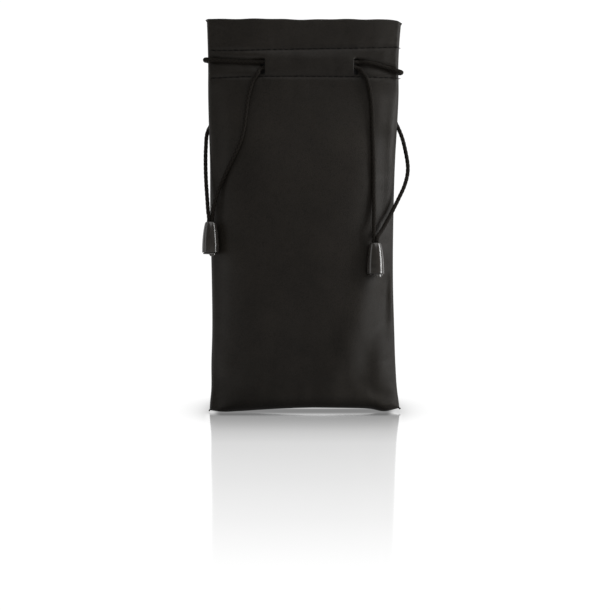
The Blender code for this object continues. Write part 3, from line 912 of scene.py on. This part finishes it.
# -------- seam allowances inside

ALLOWANCE_WIDTH = 4.0
ALLOWANCE_CLOTH = 0.6


def make_allowance(name, replaced, line, inward, seed):
    """Two raw cloth edges sewn together inside a seam, slightly wavy."""
    rng = np.random.default_rng(seed)
    verts, faces = [], []
    line = np.array(line, float)
    inward = np.array(inward, float)
    across = np.cross(np.gradient(line, axis=0)[len(line) // 2], inward)
    across /= np.linalg.norm(across)
    for layer in (-1, 1):
        first = len(verts)
        for i, at in enumerate(line):
            wave = 0.14 * math.sin(i * 0.55 + layer) + rng.uniform(-0.04, 0.04)
            width = ALLOWANCE_WIDTH + 0.22 * math.sin(i * 0.9 + 2 * layer) + rng.uniform(-0.08, 0.08)
            for share in (0.0, 0.4, 0.8, 1.0):
                spread = layer * (0.38 + (0.16 + wave) * share**2)
                verts.append(at + inward * width * share + across * spread)
        faces += [tuple(first + k for k in face) for face in grid_faces(len(line), 4)]
    piece = add_object(name, verts, faces)
    thicken(piece, ALLOWANCE_CLOTH, 0.0)
    return finish_piece(piece, BACKING, "pouch", "leatherette", replaced)


for seam, away in (("left", -1), ("right", 1)):
    seam_z = np.linspace(8, 144, 70)
    seam_line = [(away * (float(half_width(z, away)) - 2.6), 0.0, z) for z in seam_z]
    make_allowance(f"{seam}_side_allowance", f"{seam}_seam_allowance", seam_line, (-away, 0, 0), 31 + away)
seam_line = [(x, 0.0, float(base_height(x)) + 1.4) for x in np.linspace(-34, 34, 40)]
make_allowance("bottom_allowance", "bottom_seam_allowance", seam_line, (0, 0, 1), 41)


# -------- cord ends

def lathe(name, profile, centre, shape):
    """A body turned about the vertical through centre. shape moves a point, given its angle and (r, z)."""
    steps = 64
    closed = profile[0] == profile[-1]
    if closed:
        profile = profile[:-1]
    verts = []
    for r, z in profile:
        for j in range(steps):
            a = 2 * math.pi * j / steps
            out, up = shape(a, r, z)
            verts.append((centre[0] + out * math.cos(a), centre[1] + out * math.sin(a), centre[2] + up))
    if closed:
        faces = grid_faces(len(profile), steps, closed=True, looped=True)
    else:
        faces = capped_faces(len(profile), steps)
    return add_object(name, verts, [face[::-1] for face in faces])


def arc(centre, radius, start, end, count):
    return [(centre[0] + radius * math.cos(math.radians(a)), centre[1] + radius * math.sin(math.radians(a)))
            for a in np.linspace(start, end, count)]


def bell_profile():
    """The bell's wall: a round shoulder at the hole, straight flanks that widen, and a rounded rim."""
    outside = [(1.75, -0.6), *arc((1.95, -0.6), 0.2, 180, 120, 3), *arc((1.75, -1.05), 0.8, 68, 14, 6)]
    for share in np.linspace(0.05, 1, 22):
        outside.append((2.5 + 1.37 * (1 - (1 - share) ** 2.1), -0.75 - 13.0 * share ** 1.1))
    outside += [(3.9, -14.0), *arc((3.7, -14.1), 0.2, 0, -90, 4), *arc((3.35, -14.2), 0.1, -90, -180, 3)]
    inside = [(3.2, -13.9), (3.15, -8.0), (2.95, -5.0), (2.4, -3.0), (1.9, -2.0), (1.75, -1.6), (1.75, -0.6)]
    return outside + inside


def bell_shape(a, r, z):
    """Two fine mould lines, one down each side."""
    ridge = max(0.0, 1 - abs(math.sin(a)) / 0.06) if r > 2.2 and z < -0.8 else 0.0
    return r + 0.05 * ridge, z


def cap_shape(angle):
    """The lever tab at this angle: the cap's flange reaches further out and down there."""
    def shape(a, r, z):
        near = math.cos(a - angle)
        tab = min(max((near - 0.9) / 0.05, 0.0), 1.0)
        if z < -14.55 and r > 1.9:
            return r + 0.2 * tab, z - 0.95 * tab
        return r, z
    return shape


# The knot's loops: their size, how far they rise and fall, how far they are below the bell's top, and their
# cord's radius, drawn tight.
KNOT_SIZE, KNOT_RISE, KNOT_BELOW, KNOT_CORD = 0.47, 1.15, 5.4, 0.72


def make_knot(cord):
    """The cord's two ends tied together inside the bell."""
    x, y, z = BELL_TOP[cord]
    turns = np.linspace(0, 2 * math.pi, 61)[:-1]
    points = [(x + KNOT_SIZE * (math.sin(t) + 2 * math.sin(2 * t)),
               y + KNOT_SIZE * (math.cos(t) - 2 * math.cos(2 * t)),
               z - KNOT_BELOW - KNOT_RISE * math.sin(3 * t)) for t in turns]
    route, wanted = smooth_route([*points, points[0]], CORD_STEP)
    knot = tube(f"{cord}_overhand_knot", route[:-1], wanted[:-1], KNOT_CORD, sides=12, braid=0.08)
    return finish_piece(knot, CORD, f"{cord}_cord_end", "cord", f"{cord}_cord_knot")


CAP_PROFILE = [(0.25, -12.3), (2.3, -12.3), *arc((2.55, -12.55), 0.25, 90, 0, 4), (2.85, -13.2),
               (2.77, -13.5), (2.83, -14.4), (3.2, -14.45), *arc((3.3, -14.6), 0.15, 90, 0, 4), (3.45, -14.8),
               *arc((3.2, -14.8), 0.25, 0, -90, 5), (2.2, -15.08), (1.6, -14.95), (0.25, -14.9)]
# Which way each cap's tab points.
TAB_ANGLE = {"left": math.radians(-72), "right": math.radians(-66)}


def make_cord_end(cord):
    bell = lathe(f"{cord}_moulded_bell", bell_profile(), BELL_TOP[cord], bell_shape)
    finish_piece(bell, PLASTIC, f"{cord}_cord_end", "cord_end_plastic", f"{cord}_bell")
    cap = lathe(f"{cord}_snap_cap", CAP_PROFILE, BELL_TOP[cord], cap_shape(TAB_ANGLE[cord]))
    finish_piece(cap, PLASTIC, f"{cord}_cap", "cord_end_plastic", f"{cord}_bell_cap")
    return bell, cap, make_knot(cord)


ENDS = {cord: make_cord_end(cord) for cord in ("left", "right")}


# -------- a pass over the cords' pieces, which does nothing

for cord, parts in CORDS.items():
    for part, (piece, route) in parts.items():
        if part == "loop":
            continue


# -------- stage

def eased(tree, value, low, high, at_low, at_high):
    """A smooth change with value, from at_low (at low) to at_high (at high). Each is a number or a socket."""
    return mapped(tree, value, interpolation_type="SMOOTHSTEP",
                  From_Min=low, From_Max=high, To_Min=at_low, To_Max=at_high)


def mix_into(tree, output, share, first, second):
    """Joins two shaders into the output: the first where share is 0, the second where it is 1."""
    mix = node(tree, "MixShader", Fac=share)
    tree.links.new(first.outputs[0], mix.inputs[1])
    tree.links.new(second.outputs[0], mix.inputs[2])
    tree.links.new(mix.outputs[0], output.inputs["Surface"])


# The brightness of the backdrop and of the floor far away.
WHITE = 1.05
# The floor's glow, with painted shade: under the reflection near the object, darkened as painted shade, and
# further off, and the painted shadow at the foot;
# then how much painted shade is taken off beside the object, and how fast that fades sideways (in metres) and
# in front and behind.
NEAR_FRONT_PAINTED_SHADE, FAR_FRONT, FOOT_PAINTED_SHADOW = 0.8, 1.03, 0.235
SHADE, SHADE_FADE, SHADE_REACH = 0.40, 0.0068, 0.14
FOOT_HALF_WIDTH = 0.0435
# The gloss at distances in front of the object.
GLOSS = [(0.0, 0.0), (0.006, 0.0), (0.026, 0.60), (0.08, 0.51), (0.16, 0.32), (0.27, 0.23), (0.35, 0.14),
         (0.43, 0.0)]
GLOSS_ROUGHNESS = 0.07
# The glossy strip narrows towards the front, and would end in a point this far away.
STRIP_LENGTH = 0.7
# Where the floor's changes start and end: the painted shade under the reflection, at the object's middle
# plane and the painted shadow at the foot, then sideways from the foot's end: the floor's brightness with its
# painted shade, the foot's painted shadow and the gloss.
FRONT_FADE, TURN_FADE, FOOT_FADE = (0.03, 0.12), (-0.004, 0.004), (0.013, 0.036)
SIDE_FADE, FOOT_SIDE_FADE, GLOSS_SIDE_FADE = (-0.005, 0.001), (-0.006, 0.0), (0.0, 0.003)


def floor_glow_with_painted_shade(tree, y, outside):
    """How bright the floor's glow is, with painted shade beside and in front of the object and a painted
    shadow at its foot: y is the way back, and outside how far it is sideways from the foot.
    """
    def larger(first, second):
        return math_node(tree, "MAXIMUM", first, second)

    def times(first, second):
        return math_node(tree, "MULTIPLY", first, second)

    # Painted shade beside the object: it fades sideways, and in front and behind.
    beside = math_node(tree, "POWER", math.e, times(larger(outside, 0.0), -1 / SHADE_FADE))
    shade = times(beside, eased(tree, larger(y, times(y, -1.5)), 0.0, SHADE_REACH, SHADE, 0.0))
    shaded = math_node(tree, "SUBTRACT", WHITE, shade)
    # Painted shade in front, under the reflection: darker near the object, lighter further off.
    front = eased(tree, math_node(tree, "ABSOLUTE", y), *FRONT_FADE, NEAR_FRONT_PAINTED_SHADE, FAR_FRONT)
    front = eased(tree, y, *TURN_FADE, front, shaded)
    level = eased(tree, outside, *SIDE_FADE, front, shaded)
    # A painted shadow under the object's foot.
    foot = eased(tree, larger(times(y, 1.2), times(y, -1.0)), *FOOT_FADE, 1.0, 0.0)
    foot = times(foot, eased(tree, outside, *FOOT_SIDE_FADE, 1.0, 0.0))
    return eased(tree, foot, 0.0, 1.0, level, FOOT_PAINTED_SHADOW)


def make_stage():
    """A pale glowing floor with painted soft shade and a painted shadow round the foot, glossy only in the
    strip that holds the reflection.
    """
    bpy.ops.mesh.primitive_plane_add(size=40.0, location=(0, 0, 0))
    floor = bpy.context.object
    floor.name = "floor"
    material = bpy.data.materials.new("pale_floor")
    material.use_nodes = True
    tree = material.node_tree
    tree.nodes.clear()
    split = node(tree, "SeparateXYZ", Vector=node(tree, "TexCoord").outputs["Object"])
    y = split.outputs["Y"]
    narrowing = math_node(tree, "ADD", math_node(tree, "DIVIDE", y, STRIP_LENGTH), 1.0)
    across = math_node(tree, "DIVIDE", math_node(tree, "ABSOLUTE", split.outputs["X"]),
                       math_node(tree, "MAXIMUM", narrowing, 0.05))
    outside = math_node(tree, "SUBTRACT", across, FOOT_HALF_WIDTH)
    pale = node(tree, "Emission", Color=(1, 1, 1, 1), Strength=floor_glow_with_painted_shade(tree, y, outside))
    gloss = node(tree, "BsdfGlossy", Roughness=GLOSS_ROUGHNESS, Color=(1, 1, 1, 1))
    in_front = ramp(tree, math_node(tree, "MULTIPLY", y, -1.0), [(at, (share,) * 3) for at, share in GLOSS])
    shine = math_node(tree, "MULTIPLY", in_front, eased(tree, outside, *GLOSS_SIDE_FADE, 1.0, 0.0))
    mix_into(tree, node(tree, "OutputMaterial"), shine, pale, gloss)
    floor.data.materials.append(material)


def area_light(name, location, target, size, power):
    light = bpy.data.lights.new(name, "AREA")
    light.shape, light.size, light.size_y, light.energy = "RECTANGLE", size[0], size[1], power
    lamp = bpy.data.objects.new(name, light)
    lamp.location = location
    lamp.rotation_euler = (Vector(target) - Vector(location)).to_track_quat("-Z", "Y").to_euler()
    bpy.context.scene.collection.objects.link(lamp)


# How bright the room is in front of the object and behind it, and where it changes from one to the other.
ROOM_FRONT, ROOM_BACK = 0.02, 1.0
ROOM_FADE = (-0.35, 0.6)


def make_world():
    """A white backdrop behind the object, a dim room in front of it, and plain white for the camera."""
    world = bpy.data.worlds.new("studio")
    bpy.context.scene.world = world
    world.use_nodes = True
    tree = world.node_tree
    split = node(tree, "SeparateXYZ", Vector=node(tree, "TexCoord").outputs["Generated"])
    strength = eased(tree, split.outputs["Y"], *ROOM_FADE, ROOM_FRONT, ROOM_BACK)
    room = fill(tree, tree.nodes["Background"], Color=(1, 1, 1, 1), Strength=strength)
    seen = node(tree, "Background", Color=(1, 1, 1, 1), Strength=WHITE)
    camera_ray = node(tree, "LightPath").outputs["Is Camera Ray"]
    mix_into(tree, tree.nodes["World Output"], camera_ray, room, seen)


def overhead_light():
    """A wide soft light from above and slightly behind."""
    light = bpy.data.lights.new("overhead", "SUN")
    light.energy, light.angle = 2.0, math.radians(70)
    lamp = bpy.data.objects.new("overhead", light)
    lamp.rotation_euler = (math.radians(28), math.radians(8), 0)
    bpy.context.scene.collection.objects.link(lamp)


make_stage()
make_world()
area_light("key", (0.80, -0.12, 0.35), (0, 0, 0.08), (0.30, 0.6), 8.5)
area_light("fill", (-0.8, -0.20, 0.30), (0, 0, 0.09), (0.3, 0.5), 0.7)
overhead_light()
bpy.context.scene.view_settings.view_transform = "Standard"
bpy.context.scene.view_settings.look = "None"
